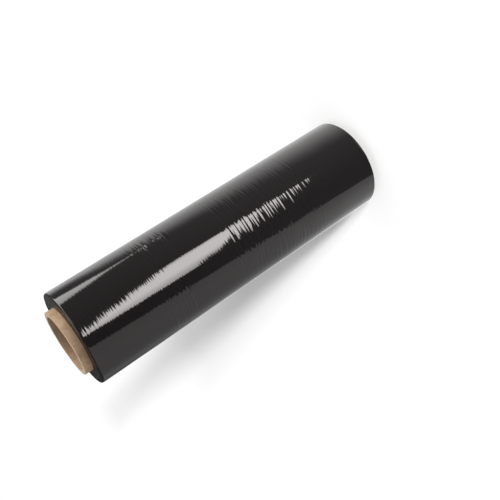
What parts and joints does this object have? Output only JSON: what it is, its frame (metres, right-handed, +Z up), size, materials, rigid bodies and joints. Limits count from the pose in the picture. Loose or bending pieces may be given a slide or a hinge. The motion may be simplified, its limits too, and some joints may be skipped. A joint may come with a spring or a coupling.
{
  "type": "stretch wrap roll",
  "caption": "Roll of black plastic stretch film wound on a cardboard tube that stands out a little at both ends.",
  "frame": {"origin": "centre of the ring of cut cardboard that the roll stands on", "axes": "+Z up along the roll's axis; the roll is round, so +X and +Y are free"},
  "size_m": [0.1296, 0.1296, 0.471],
  "materials": {
    "kraft_cardboard": "matt, spiral-wound brown paper board",
    "stretch_film": "glossy black film, tight on the roll"
  },
  "bodies": {
    "root": {"cardboard_core": "kraft_cardboard", "wound_film": "stretch_film"}
  },
  "joints": []
}
